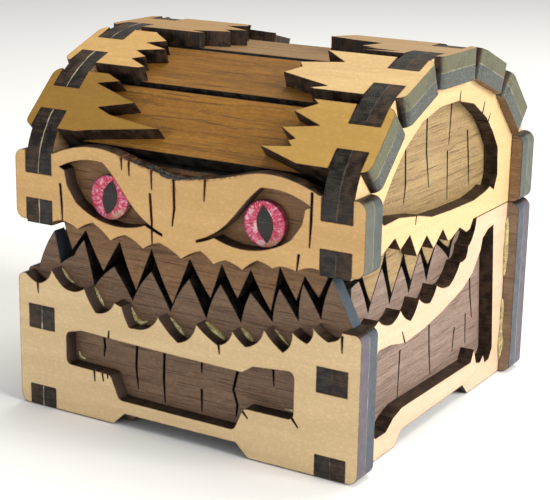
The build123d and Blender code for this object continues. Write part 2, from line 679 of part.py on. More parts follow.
# Slats and their caps
for number, (bend, run, width) in enumerate(zip(bends, runs[1:], run_widths), start=1):
    slat_plane = Plane(origin=(0, bend.X, bend.Y), x_dir=(1, 0, 0), z_dir=(0, -run.Y, run.X))
    with BuildPart() as slat:
        with BuildSketch(slat_plane):
            with Locations((0, width / 2)):
                RectangleRounded(2 * slat_half, width - 2 * slat_play, corner_radius)
            slat_notches(width)
        extrude(amount=ply)
    save(slat, f"lid_slat_{number}")

    for side, name in ((-1, "left"), (1, "right")):
        edge = cap_splinters(name, number)
        scale = (width - 2 * slat_play) / edge[0][1]
        inner_end = [(side * (slat_half - x * across), slat_play + z * scale) for x, z in edge]
        with BuildPart() as cap:
            with BuildSketch(slat_plane.offset(ply)) as cap_face:
                with BuildLine():
                    Polyline((side * slat_half, inner_end[0][1]), *inner_end,
                             (side * slat_half, inner_end[-1][1]), close=True)
                make_face()
                end_corners = cap_face.vertices().sort_by(Axis.X)
                fillet(end_corners[-2:] if side > 0 else end_corners[:2], corner_radius)
                slat_notches(width)
            extrude(amount=ply)
        save(cap, f"slat_cap_{name}_{number}")

# Eyes: a printed card on the walnut sheet, under a glass dome
for side, name in ((-1, "left"), (1, "right")):
    with BuildPart() as iris_card:
        with BuildSketch(Plane.XZ.offset(-front_mid)):
            with Locations((side * eye_x, eye_z)):
                Circle(eye_foot_radius)
        extrude(amount=card_thickness)
    save(iris_card, f"iris_card_{name}")

    foot = Vector(side * eye_x, front_mid - card_thickness, eye_z)
    with BuildPart() as eye_glass:
        with BuildSketch(Plane(origin=foot, x_dir=(1, 0, 0), z_dir=(0, 0, 1))):
            with BuildLine():
                Polyline((0, 0), (eye_foot_radius, 0), (eye_radius, -eye_rim))
                RadiusArc((eye_radius, -eye_rim), (0, -eye_rim - eye_dome),
                          (eye_radius**2 + eye_dome**2) / (2 * eye_dome))
                Line((0, -eye_rim - eye_dome), (0, 0))
            make_face()
        revolve(axis=Axis(foot, (0, 1, 0)))
    save(eye_glass, f"eye_glass_{name}")


def hinge_leaf(hinge_x, side_of_seam):
    """One leaf: its plate on the wood and its knuckles round the pin."""
    half_leaf = leaf_width / 2
    half_knuckle = knuckle_length / 2
    if side_of_seam > 0:
        own = [(-half_knuckle + knuckle_play / 2, half_knuckle - knuckle_play / 2)]
    else:
        own = [(-half_leaf, -half_knuckle - knuckle_play / 2),
               (half_knuckle + knuckle_play / 2, half_leaf)]
    clear = knuckle_radius + knuckle_play
    with BuildPart() as leaf:
        with BuildSketch(Plane.XZ.offset(-half_depth)):
            low, high = sorted(axis_z + side_of_seam * up for up in (clear, leaf_height))
            slab(hinge_x - half_leaf, hinge_x + half_leaf, low, high)
            low, high = sorted(axis_z + side_of_seam * up for up in (0, clear))
            for start, end in own:
                slab(hinge_x + start, hinge_x + end, low, high)
            with Locations(*hinge_pilots(side_of_seam)):
                Circle(nail_radius + nail_play, mode=Mode.SUBTRACT)
        extrude(amount=-leaf_thickness)
        for start, end in own:
            with BuildSketch(Plane.YZ.offset(hinge_x + start)):
                with Locations((axis_y, axis_z)):
                    Circle(knuckle_radius)
            extrude(amount=end - start)
        with BuildSketch(Plane.YZ.offset(hinge_x - leaf_width)):
            with Locations((axis_y, axis_z)):
                Circle(pin_radius + pin_play)
        extrude(amount=2 * leaf_width, mode=Mode.SUBTRACT)
    return leaf


# Hinges
for side, name in ((-1, "left"), (1, "right")):
    hinge_x = side * hinge_offset
    save(hinge_leaf(hinge_x, -1), f"hinge_leaf_body_{name}")
    save(hinge_leaf(hinge_x, 1), f"hinge_leaf_lid_{name}")

    with BuildPart() as hinge_pin:
        with BuildSketch(Plane.YZ.offset(hinge_x - leaf_width / 2 - pin_head)):
            with Locations((axis_y, axis_z)):
                Circle(pin_radius)
        extrude(amount=leaf_width + 2 * pin_head)
        with BuildSketch(Plane.YZ.offset(hinge_x + leaf_width / 2)):
            with Locations((axis_y, axis_z)):
                Circle(knuckle_radius - knuckle_play)
        extrude(amount=pin_head)
    save(hinge_pin, f"hinge_pin_{name}")

# Hinge nails: their heads seat on the leaves
for name, side_of_seam in (("body", -1), ("lid", 1)):
    with BuildPart() as nails:
        with BuildSketch(Plane.XZ.offset(-half_depth - leaf_thickness)):
            with Locations(*hinge_pilots(side_of_seam)):
                Circle(nail_radius)
        extrude(amount=leaf_thickness + nail_length - nail_play)
        with BuildSketch(Plane.XZ.offset(-half_depth - leaf_thickness)):
            with Locations(*hinge_pilots(side_of_seam)):
                Circle(nail_head_radius)
        extrude(amount=-nail_head_height)
    save(nails, f"hinge_nails_{name}")
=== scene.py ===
import math
import random

import bpy
import bmesh
from mathutils import Matrix, Vector


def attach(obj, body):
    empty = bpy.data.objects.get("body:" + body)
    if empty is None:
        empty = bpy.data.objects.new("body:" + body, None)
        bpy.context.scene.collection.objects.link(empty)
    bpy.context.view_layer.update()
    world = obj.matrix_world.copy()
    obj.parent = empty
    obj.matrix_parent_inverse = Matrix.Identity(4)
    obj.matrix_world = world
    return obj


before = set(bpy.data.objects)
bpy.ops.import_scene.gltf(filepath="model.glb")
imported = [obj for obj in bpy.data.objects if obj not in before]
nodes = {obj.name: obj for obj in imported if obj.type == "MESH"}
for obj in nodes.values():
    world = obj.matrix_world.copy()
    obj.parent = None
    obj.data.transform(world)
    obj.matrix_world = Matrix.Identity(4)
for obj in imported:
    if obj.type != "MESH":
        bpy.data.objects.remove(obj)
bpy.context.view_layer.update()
mm = 0.001
inMm = (1 / mm, 1 / mm, 1 / mm)
print("frame loaded:", len(nodes), "pieces")


class Recipe:
    # one material with its node tree; each method adds a node and hands back its output

    def __init__(self, name):
        self.material = bpy.data.materials.new(name)
        self.material.use_nodes = True
        self.tree = self.material.node_tree
        self.shader = self.tree.nodes["Principled BSDF"]
        self.where = self.tree.nodes.new("ShaderNodeTexCoord")
        self.surface = self.tree.nodes.new("ShaderNodeNewGeometry")

    def put(self, source, target):
        if isinstance(source, (int, float)):
            target.default_value = source
        elif isinstance(source, (tuple, list, Vector)):
            values = tuple(source)
            room = len(target.default_value)
            target.default_value = values if len(values) == room else (*values, 1.0)
        else:
            self.tree.links.new(source, target)

    def set(self, name, source):
        self.put(source, self.shader.inputs[name])

    def math(self, kind, a, b=0.0, clamp=False):
        node = self.tree.nodes.new("ShaderNodeMath")
        node.operation = kind
        node.use_clamp = clamp
        self.put(a, node.inputs[0])
        self.put(b, node.inputs[1])
        return node.outputs[0]

    def dot(self, a, direction):
        node = self.tree.nodes.new("ShaderNodeVectorMath")
        node.operation = "DOT_PRODUCT"
        self.put(a, node.inputs[0])
        self.put(direction, node.inputs[1])
        return node.outputs["Value"]

    def join(self, x, y, z):
        node = self.tree.nodes.new("ShaderNodeCombineXYZ")
        for value, target in zip((x, y, z), node.inputs):
            self.put(value, target)
        return node.outputs[0]

    def stretch(self, vector, scale, shift=(0, 0, 0)):
        node = self.tree.nodes.new("ShaderNodeMapping")
        self.put(vector, node.inputs["Vector"])
        node.inputs["Scale"].default_value = scale
        node.inputs["Location"].default_value = shift
        return node.outputs[0]

    def noise(self, vector, scale=1.0, detail=2.0, rough=0.5, twist=0.0):
        node = self.tree.nodes.new("ShaderNodeTexNoise")
        self.put(vector, node.inputs["Vector"])
        node.inputs["Scale"].default_value = scale
        node.inputs["Detail"].default_value = detail
        node.inputs["Roughness"].default_value = rough
        node.inputs["Distortion"].default_value = twist
        return node.outputs["Fac"]

    def fade(self, value, low, high, start=0.0, end=1.0):
        node = self.tree.nodes.new("ShaderNodeMapRange")
        node.interpolation_type = "SMOOTHSTEP"
        self.put(value, node.inputs["Value"])
        node.inputs["From Min"].default_value = low
        node.inputs["From Max"].default_value = high
        node.inputs["To Min"].default_value = start
        node.inputs["To Max"].default_value = end
        return node.outputs["Result"]

    def mix(self, share, a, b, kind="MIX"):
        node = self.tree.nodes.new("ShaderNodeMix")
        node.data_type = "RGBA"
        node.blend_type = kind
        self.put(share, node.inputs[0])
        self.put(a, node.inputs[6])
        self.put(b, node.inputs[7])
        return node.outputs[2]

    def between(self, share, a, b):
        node = self.tree.nodes.new("ShaderNodeMix")
        node.data_type = "FLOAT"
        self.put(share, node.inputs[0])
        self.put(a, node.inputs[2])
        self.put(b, node.inputs[3])
        return node.outputs[0]

    def nearEdge(self, reach):
        # 0 on the flat, more where the surface turns within this distance
        node = self.tree.nodes.new("ShaderNodeBevel")
        node.samples = 8
        node.inputs["Radius"].default_value = reach
        agreement = self.math("ABSOLUTE", self.dot(node.outputs[0], self.surface.outputs["Normal"]))
        return self.math("SUBTRACT", 1.0, agreement)

    def bump(self, height, distance, strength):
        node = self.tree.nodes.new("ShaderNodeBump")
        node.inputs["Strength"].default_value = strength
        node.inputs["Distance"].default_value = distance
        self.put(height, node.inputs["Height"])
        return node.outputs[0]


# the laser-cut woods: face colours, burnt edge colours, a painted grey sheen for the cut ends, figure and gloss
maple = {
    "pale": (0.625, 0.462, 0.252), "deep": (0.535, 0.385, 0.200), "fleck": (0.36, 0.235, 0.11),
    "singeAndShade": (0.115, 0.048, 0.018), "charDark": (0.010, 0.006, 0.004), "charLight": (0.052, 0.030, 0.019),
    "endSheen": (0.092, 0.080, 0.104), "glintShare": 0.28,
    "mottle": 0.34, "grainLong": 0.035, "grainWide": 0.30,
    "poreLong": 0.35, "poreWide": 2.6, "poreLow": 0.64, "poreHigh": 0.76, "poreShare": 0.30,
    "faceRough": 0.46, "charRough": 0.46, "shine": 0.42,
}
# lid and cap copies of maple differ only in the painted sheen on their cut ends
lidMaple = dict(maple, endSheen=(0.088, 0.093, 0.079))
capMaple = dict(maple, endSheen=(0.098, 0.100, 0.062))
walnut = {
    "pale": (0.200, 0.126, 0.076), "deep": (0.128, 0.076, 0.044), "fleck": (0.036, 0.021, 0.014),
    "singeAndShade": (0.022, 0.013, 0.009), "charDark": (0.006, 0.005, 0.004), "charLight": (0.034, 0.027, 0.021),
    "endSheen": (0.050, 0.064, 0.084), "glintShare": 0.75,
    "mottle": 0.25, "grainLong": 0.016, "grainWide": 0.60,
    "poreLong": 0.105, "poreWide": 4.6, "poreLow": 0.55, "poreHigh": 0.70, "poreShare": 0.78,
    "faceRough": 0.50, "charRough": 0.40, "shine": 0.28,
}
# the slats' walnut, with denser pores, painted warmer and brighter for the warm light on the top
warmLitWalnut = dict(
    walnut, pale=(0.262, 0.120, 0.024), deep=(0.170, 0.072, 0.013), fleck=(0.050, 0.023, 0.008),
    poreShare=0.80, poreLow=0.50, endSheen=(0.062, 0.069, 0.064))
# the lid's walnut differs only in the painted sheen on its cut ends
lidWalnut = dict(walnut, endSheen=(0.058, 0.069, 0.067))
untinted = (1, 1, 1)

# what the laser left, and painted sheen on some cuts, lengths in mm; the painted sheen on the ends and the
# cracks are placed by the distance from the chest's middle
burn = {
    "singeReach": 0.42, "bandReach": 1.5, "sheenFrom": 38.4, "sheenBlend": 0.5,
    "crackFrom": 14.5, "crackFull": 13.5, "rightSheen": (0.085, 0.056, 0.046), "rightSheenShare": 0.7,
    "shine": 0.22, "relief": 0.09,
}
glueLine = {
    "colour": (0.50, 0.44, 0.31), "half": 0.09, "wander": 0.55,
    "wallMiddle": 38.0, "tabFrom": 24.0, "tabFull": 30.0,
}


def sheetWood(name, wood, normal, grain, across, seamAt, seed, toneAndLight=untinted, glued=0.0, crustAndShadeBand=None,
              sheenFrom=burn["sheenFrom"], crackColour=None):
    # wood seen on the face of a sheet, and burnt edge wherever the surface turns away from the face
    r = Recipe(name)
    place = r.where.outputs["Object"]
    along = r.dot(place, [v / mm for v in grain])
    up = r.dot(place, [v / mm for v in across])
    depth = r.dot(place, [v / mm for v in normal])
    sheet = r.join(along, up, depth)

    bands = r.noise(r.stretch(sheet, (wood["grainLong"], wood["grainWide"], 0.3), (seed, seed * 0.7, 3)),
                    detail=4, rough=0.62, twist=0.5)
    figure = r.noise(r.stretch(sheet, (0.10, 0.17, 0.1), (seed * 1.9, 5, seed)), detail=3, twist=0.8)
    mottle = r.noise(r.stretch(sheet, (0.75, 1.5, 1.0), (seed, 0, 4)), detail=3, rough=0.7, twist=0.6)
    pores = r.noise(r.stretch(sheet, (wood["poreLong"], wood["poreWide"], 1.0), (seed, seed * 3.1, 0)),
                    detail=2, rough=0.65)
    fine = r.noise(r.stretch(sheet, (0.55, 8.0, 2.0), (0, seed, 9)), detail=2, rough=0.7)
    specks = r.noise(r.stretch(sheet, (1.1, 1.7, 1.2), (seed, 8, 0)), detail=3, rough=0.8)

    face = r.mix(r.fade(bands, 0.30, 0.70), wood["deep"], wood["pale"])
    face = r.mix(r.fade(figure, 0.35, 0.70, 0.0, 0.40), face, wood["deep"])
    face = r.mix(r.fade(mottle, 0.40, 0.72, 0.0, wood["mottle"]), face, wood["deep"])
    face = r.mix(r.fade(fine, 0.50, 0.78, 0.0, 0.16), face, wood["fleck"])
    face = r.mix(r.fade(specks, 0.50, 0.66, 0.0, 0.55), face, wood["deep"])
    face = r.mix(r.fade(specks, 0.47, 0.36, 0.0, 0.45), face, [min(1.0, 1.18 * v) for v in wood["pale"]])
    poreShare = r.fade(pores, wood["poreLow"], wood["poreHigh"], 0.0, wood["poreShare"])
    face = r.mix(poreShare, face, wood["fleck"])
    # multiply by the piece's tone, which also carries painted light and shade
    face = r.mix(1.0, face, toneAndLight, "MULTIPLY")

    # brown singe close to every cut
    near = r.nearEdge(burn["singeReach"] * mm)
    ragged = r.noise(r.stretch(sheet, (1.6, 1.6, 1.6), (seed, 0, 0)), detail=2)
    singeAndShade = r.math("MULTIPLY", r.fade(near, 0.002, 0.12), r.fade(ragged, 0.25, 0.65, 0.55, 1.0), clamp=True)
    if crustAndShadeBand:
        # a wider band along the top of the lid's front: a crusty singe on the outer sheet, painted shade on the
        # inner sheet where it shows above the brow
        wide = r.nearEdge(burn["bandReach"] * mm)
        inBand = r.math("MULTIPLY", r.fade(r.math("ABSOLUTE", along), crustAndShadeBand["half"], crustAndShadeBand["half"] - 5),
                        r.fade(up, crustAndShadeBand["low"], crustAndShadeBand["low"] + 1))
        crust = r.math("MULTIPLY", r.fade(wide, 0.03, 0.20), r.fade(ragged, 0.35, 0.60))
        singeAndShade = r.math("MAXIMUM", singeAndShade, r.math("MULTIPLY", inBand, crust), clamp=True)
    # paint the singe, and on the inner front sheet the painted shade of the wide band
    face = r.mix(singeAndShade, face, wood["singeAndShade"])

    # the cut itself: faintly striped by the beam, sooty and gritty, with a painted grey sheen and painted
    # glints on the sheet's outer ends
    shapeNormal = r.where.outputs["Normal"]
    toRight = r.dot(shapeNormal, (1, 0, 0))
    sideways = r.math("ABSOLUTE", toRight)
    fromMiddle = r.math("ABSOLUTE", r.dot(place, (1 / mm, 0, 0)))
    stripes = r.noise(r.stretch(sheet, (2.6, 2.6, 0.22), (seed, seed, 0)), detail=2, rough=0.6)
    soot = r.noise(r.stretch(sheet, (0.45, 0.45, 0.45), (0, 0, seed)), detail=3, rough=0.6)
    gritAndGlints = r.noise(r.stretch(sheet, (3.6, 3.6, 3.6)), detail=1)
    outer = r.fade(fromMiddle, sheenFrom, sheenFrom + burn["sheenBlend"])
    ends = r.math("MULTIPLY", r.fade(sideways, 0.55, 0.85), outer)
    sooty = r.math("ADD", r.math("MULTIPLY", stripes, 0.35), r.math("MULTIPLY", soot, 0.65))
    char = r.mix(r.fade(sooty, 0.40, 0.62), wood["charDark"], wood["charLight"])
    # painted grey sheen on the outer ends that look sideways
    char = r.mix(r.math("MULTIPLY", ends, r.fade(sooty, 0.34, 0.58, 0.55, 1.0)), char, wood["endSheen"])
    # painted glints: pale specks on the gritty cut, strongest on the outer ends
    bright = r.math("MULTIPLY", r.fade(gritAndGlints, 0.56, 0.70, 0.0, wood["glintShare"]),
                    r.fade(ends, 0.0, 1.0, 0.10, 1.0))
    char = r.mix(bright, char, [min(1.0, 2.4 * v) for v in wood["endSheen"]])
    if abs(normal[1]) > 0.9:
        # front and back: maple cuts that look to the right get a painted brownish sheen, and the outer ends
        # keep their painted grey sheen
        sheenOnRight = burn["rightSheenShare"] if wood["pale"] == maple["pale"] else 0.0
        char = r.mix(r.fade(toRight, 0.45, 0.90, 0.0, sheenOnRight), char, burn["rightSheen"])
        char = r.mix(r.math("MULTIPLY", ends, outer), char, wood["endSheen"])
    if crackColour:
        inside = r.fade(fromMiddle, burn["crackFrom"], burn["crackFull"])
        char = r.mix(r.math("MULTIPLY", r.fade(sideways, 0.90, 0.97), inside), char, crackColour)
    if glued:
        # a pale, wandering line of glue where the two sheets meet at an outer end
        wander = r.noise(r.stretch(sheet, (0.22, 0.22, 0.05), (seed, 2, 0)), detail=1)
        offLine = r.math("ADD", r.math("SUBTRACT", depth, seamAt),
                         r.math("MULTIPLY", r.math("SUBTRACT", wander, 0.5), glueLine["wander"]))
        line = r.fade(r.math("ABSOLUTE", offLine), glueLine["half"] + 0.07, glueLine["half"] - 0.05)
        if abs(normal[0]) > 0.5:
            # side walls: only on the tabs, whose ends look away from the middle of the wall
            toBack, toTop = r.dot(shapeNormal, (0, 1, 0)), r.dot(shapeNormal, (0, 0, 1))
            away = r.math("ADD", r.math("MULTIPLY", r.dot(place, (0, 1 / mm, 0)), toBack),
                          r.math("MULTIPLY", r.math("SUBTRACT", up, glueLine["wallMiddle"]), toTop))
            line = r.math("MULTIPLY", line, r.fade(away, glueLine["tabFrom"], glueLine["tabFull"]))
        else:
            line = r.math("MULTIPLY", line, ends)
        line = r.math("MULTIPLY", line, r.fade(soot, 0.36, 0.56, 0.15 * glued, glued))
        char = r.mix(line, char, glueLine["colour"])

    turned = r.math("ABSOLUTE", r.dot(shapeNormal, normal))
    cut = r.fade(turned, 0.80, 0.60)
    r.set("Base Color", r.mix(cut, face, char))

    faceRough = r.fade(fine, 0.3, 0.8, wood["faceRough"], wood["faceRough"] + 0.14)
    charRough = r.fade(soot, 0.3, 0.7, wood["charRough"] - 0.08, wood["charRough"] + 0.14)
    r.set("Roughness", r.between(r.math("MAXIMUM", cut, singeAndShade), faceRough, charRough))
    r.set("Specular IOR Level", r.between(cut, wood["shine"], burn["shine"]))

    relief = r.math("SUBTRACT", r.math("MULTIPLY", fine, 0.25), r.math("MULTIPLY", poreShare, 0.6))
    gritty = r.math("ADD", r.math("MULTIPLY", stripes, 0.6), r.math("MULTIPLY", gritAndGlints, 0.7))
    r.set("Normal", r.bump(r.between(cut, relief, gritty), burn["relief"] * mm, 0.9))
    return r.material


# the lid's cross-section, in mm: where it starts on the front wall and how each slat slopes
lid = {
    "frontInner": -34.5, "shoulder": 54.45, "slopes": (43.7, 20.9, 0.0, -20.9, -43.7),
    "widths": (14.905, 14.905, 17.2, 14.905, 14.905), "ply": 3.2,
}
walls = {
    "front": {"normal": (0, -1, 0), "grain": (1, 0, 0), "seamAt": 37.7},
    "back": {"normal": (0, 1, 0), "grain": (1, 0, 0), "seamAt": 35.3},
    "right": {"normal": (1, 0, 0), "grain": (0, 1, 0), "seamAt": 34.2},
    "left": {"normal": (-1, 0, 0), "grain": (0, 1, 0), "seamAt": 34.2},
}
# colour multipliers for each piece: partly the wood's own tone, partly painted light and shade; painted light
# brightens the inner walnut of the right side and the back, painted shade darkens the steep first slat caps
tonesAndLight = {
    "lid_front_outer": (0.93, 0.77, 0.54), "lid_front_inner": (1.16, 0.98, 0.70),
    "body_front_inner": (1.00, 0.98, 1.00),
    "body_right_outer": (1.0, 0.97, 1.26), "lid_right_outer": (1.0, 0.96, 0.90),
    "body_right_inner": (1.40, 1.60, 2.20), "lid_right_inner": (1.78, 1.98, 1.52),
    "body_left_inner": (1.25, 1.30, 1.35), "lid_left_inner": (1.40, 1.40, 1.25),
    "body_back_inner": (1.34, 1.50, 1.75), "lid_back_inner": (1.35, 1.35, 1.25),
    "slat_cap_left_1": (0.46, 0.34, 0.09), "slat_cap_right_1": (0.75, 0.62, 0.28),
    "slat_cap_left_2": (0.90, 0.76, 0.48), "slat_cap_right_2": (1.0, 0.94, 0.78),
    "slat_cap_left_3": (0.60, 0.49, 0.34), "slat_cap_right_3": (0.62, 0.55, 0.46),
    "lid_slat_1": (1.23, 1.27, 1.02), "lid_slat_2": (1.06, 1.06, 0.72), "lid_slat_3": (1.20, 1.60, 3.40),
    "lid_slat_4": (0.80, 1.05, 2.4), "lid_slat_5": (0.80, 1.05, 2.4),
}
# the wide top band: burnt crust along the brow on the outer sheet, painted shade on the inner sheet's top above
# the brow
crustAndShadeBands = {"lid_front_outer": {"half": 17.0, "low": 49.5}, "lid_front_inner": {"half": 30.0, "low": 52.0}}
# where the painted sheen on the outer ends begins, for pieces that differ
sheenStarts = {"body_front_inner": 30.5}
crackColours = {"lid_front_outer": (0.14, 0.046, 0.018)}
glueShares = {"left": 0.85, "right": 0.10, "front": 0.35, "back": 0.40, "slats": 0.30}
woodSeedStep = 11.3


def dress(node, material):
    nodes[node].data.materials.clear()
    nodes[node].data.materials.append(material)


seed = 0.0
for side, wall in walls.items():
    for half in ("body", "lid"):
        outer, inner = (lidMaple, lidWalnut) if half == "lid" else (maple, walnut)
        for layer, wood in (("outer", outer), ("inner", inner)):
            seed += woodSeedStep
            name = f"{half}_{side}_{layer}"
            dress(name, sheetWood(
                name + "_wood", wood, wall["normal"], wall["grain"], (0, 0, 1), wall["seamAt"], seed,
                toneAndLight=tonesAndLight.get(name, untinted), glued=glueShares[side], crustAndShadeBand=crustAndShadeBands.get(name),
                sheenFrom=sheenStarts.get(name, burn["sheenFrom"]), crackColour=crackColours.get(name)))

# each slat lies along its own side of the lid's cross-section
corner = Vector((lid["frontInner"], lid["shoulder"]))
for number, (degrees, width) in enumerate(zip(lid["slopes"], lid["widths"]), start=1):
    angle = math.radians(degrees)
    slope = Vector((math.cos(angle), math.sin(angle)))
    normal = (0, -math.sin(angle), math.cos(angle))
    across = (0, math.cos(angle), math.sin(angle))
    seamAt = corner.x * normal[1] + corner.y * normal[2] + lid["ply"]
    for name, wood in ((f"lid_slat_{number}", warmLitWalnut), (f"slat_cap_left_{number}", capMaple),
                       (f"slat_cap_right_{number}", capMaple)):
        seed += woodSeedStep
        dress(name, sheetWood(
            name + "_wood", wood, normal, (1, 0, 0), across, seamAt, seed,
            toneAndLight=tonesAndLight.get(name, untinted), glued=glueShares["slats"]))
    corner += slope * width
dress("floor_panel", sheetWood(
    "floor_wood", walnut, (0, 0, 1), (1, 0, 0), (0, 1, 0), seamAt=None, seed=7.7))
print("wood on", len(bpy.data.materials), "sheets")


def solid(name, shape, material, smooth):
    # one shape in one material, linked into the scene
    mesh = bpy.data.meshes.new(name)
    shape.to_mesh(mesh)
    shape.free()
    for face in mesh.polygons:
        face.use_smooth = smooth
    mesh.materials.append(material)
    piece = bpy.data.objects.new(name, mesh)
    bpy.context.scene.collection.objects.link(piece)
    return piece


# the eyes: a slit pupil in a ring of radial fibres, seen through a clear dome
eye = {
    "x": 17.9, "z": 46.85, "radius": 4.52, "cardY": -38.0, "rimY": -39.2, "facets": 72, "softEdge": 0.18,
    "offCentre": 0.25, "slitHalf": 0.40, "slitTall": 0.82,
    "rose": (0.66, 0.040, 0.100), "blush": (0.74, 0.17, 0.30), "milk": (0.88, 0.60, 0.66),
    "olive": (0.50, 0.30, 0.12), "veinAndRimShade": (0.20, 0.015, 0.06), "pupil": (0.020, 0.017, 0.016),
    "dust": (0.20, 0.18, 0.16), "rough": 0.45, "shine": 0.15,
}


def irisPaint(name, side, lean, seed):
    r = Recipe(name)
    across = r.dot(r.where.outputs["Object"], (1 / mm, 0, 0))
    up = r.dot(r.where.outputs["Object"], (0, 0, 1 / mm))
    dx = r.math("DIVIDE", r.math("SUBTRACT", across, side * eye["x"] + eye["offCentre"]), eye["radius"])
    dz = r.math("DIVIDE", r.math("SUBTRACT", up, eye["z"]), eye["radius"])
    out = r.math("SQRT", r.math("ADD", r.math("MULTIPLY", dx, dx), r.math("MULTIPLY", dz, dz)))
    safe = r.math("MAXIMUM", out, 0.02)
    ux, uz = r.math("DIVIDE", dx, safe), r.math("DIVIDE", dz, safe)
    ray = r.join(r.math("MULTIPLY", ux, 4.2), r.math("MULTIPLY", uz, 4.2), r.math("MULTIPLY", out, 1.6))
    fibres = r.noise(r.stretch(ray, (1, 1, 1), (seed, 0, 0)), scale=1.3, detail=3, rough=0.65, twist=0.3)
    fine = r.noise(r.stretch(ray, (1, 1, 1), (0, seed, 0)), scale=3.2, detail=2, rough=0.6)
    clouds = r.noise(r.join(r.math("MULTIPLY", dx, 3.2), r.math("MULTIPLY", dz, 3.2), seed), detail=3)

    # the slit, leaning a little
    c, s = math.cos(math.radians(lean)), math.sin(math.radians(lean))
    sx = r.math("ADD", r.math("MULTIPLY", dx, c), r.math("MULTIPLY", dz, s))
    sz = r.math("SUBTRACT", r.math("MULTIPLY", dz, c), r.math("MULTIPLY", dx, s))
    tall = r.math("DIVIDE", r.math("SUBTRACT", sz, 0.01), eye["slitTall"])
    room = r.math("MULTIPLY", r.math("SUBTRACT", 1.0, r.math("MULTIPLY", tall, tall)), eye["slitHalf"])
    beyond = r.math("SUBTRACT", r.math("ABSOLUTE", sx), room)

    ring = r.mix(r.fade(fibres, 0.40, 0.66), eye["rose"], eye["blush"])
    ring = r.mix(r.fade(beyond, 0.30, 0.02, 0.0, 0.80), ring, eye["rose"])
    ring = r.mix(r.fade(clouds, 0.52, 0.66, 0.0, 0.85), ring, eye["milk"])
    ring = r.mix(r.fade(fine, 0.56, 0.66, 0.0, 0.85), ring, eye["milk"])
    ring = r.mix(r.fade(fine, 0.44, 0.32, 0.0, 0.75), ring, eye["veinAndRimShade"])
    low = r.math("SUBTRACT", r.math("MULTIPLY", dx, 0.5), dz)
    lowShare = r.math("MULTIPLY", r.fade(low, 0.55, 1.05), r.fade(clouds, 0.35, 0.6, 0.1, 0.8))
    ring = r.mix(lowShare, ring, eye["olive"])
    # painted shade round the rim, where the glass dome's edge looks dark
    ring = r.mix(r.fade(out, 0.93, 0.99, 0.0, 0.7), ring, eye["veinAndRimShade"])
    specks = r.noise(r.join(r.math("MULTIPLY", dx, 22), r.math("MULTIPLY", dz, 22), seed), detail=1)
    dark = r.mix(r.fade(specks, 0.60, 0.72, 0.0, 0.55), eye["pupil"], eye["dust"])
    r.set("Base Color", r.mix(r.fade(beyond, -0.02, 0.03), dark, ring))
    r.set("Roughness", eye["rough"])
    r.set("Specular IOR Level", eye["shine"])
    return r.material


for side, name, lean in ((-1, "left", -12), (1, "right", 8)):
    paint = irisPaint(f"eye_{name}_paint", side, lean, 3.0 + side)
    dress(f"iris_card_{name}", paint)
    # the glass lifts and widens the picture on the card: a thick disc stands where it is seen
    shape = bmesh.new()
    bmesh.ops.create_cone(shape, cap_ends=True, segments=eye["facets"], radius1=eye["radius"] * mm,
                          radius2=eye["radius"] * mm, depth=(eye["cardY"] - eye["rimY"]) * mm)
    rim = [edge for edge in shape.edges if all(v.co.z > 0 for v in edge.verts)]
    bmesh.ops.bevel(shape, geom=rim, offset=eye["softEdge"] * mm, affect="EDGES", segments=3, profile=0.5,
                    material=-1)
    bmesh.ops.rotate(shape, verts=shape.verts, cent=(0, 0, 0),
                     matrix=Matrix.Rotation(math.radians(90), 3, "X"))
    bmesh.ops.translate(shape, verts=shape.verts,
                        vec=(side * eye["x"] * mm, (eye["cardY"] + eye["rimY"]) / 2 * mm, eye["z"] * mm))
    bmesh.ops.recalc_face_normals(shape, faces=shape.faces)
    disc = solid(f"iris_picture_{name}", shape, paint, smooth=False)
    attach(disc, "lid")
clear = {"glass": (0.10, 0.09, 0.09), "alpha": 0.11, "rough": 0.04}
domeGlass = Recipe("eye_glass_clear")
domeGlass.set("Base Color", clear["glass"])
domeGlass.set("Alpha", clear["alpha"])
domeGlass.set("Roughness", clear["rough"])
for name in ("left", "right"):
    dress(f"eye_glass_{name}", domeGlass.material)
print("eyes painted")


# dried glue: yellowish lumps squeezed out of the joints, each drop as (x, y, z, radius) in mm
glue = {
    "colour": (0.44, 0.38, 0.15), "pale": (0.68, 0.61, 0.34), "dark": (0.22, 0.18, 0.075),
    "rough": 0.12, "coat": 0.8, "voxel": 0.10,
}
dried = Recipe("dried_glue")
spot = dried.stretch(dried.where.outputs["Object"], inMm)
cloud = dried.noise(spot, scale=0.9, detail=3, rough=0.6)
froth = dried.noise(spot, scale=1.6, detail=2, rough=0.6)
blend = dried.mix(dried.fade(cloud, 0.35, 0.65), glue["colour"], glue["dark"])
blend = dried.mix(dried.fade(froth, 0.56, 0.70, 0.0, 0.7), blend, glue["pale"])
dried.set("Base Color", blend)
dried.set("Roughness", glue["rough"])
dried.set("Coat Weight", glue["coat"])


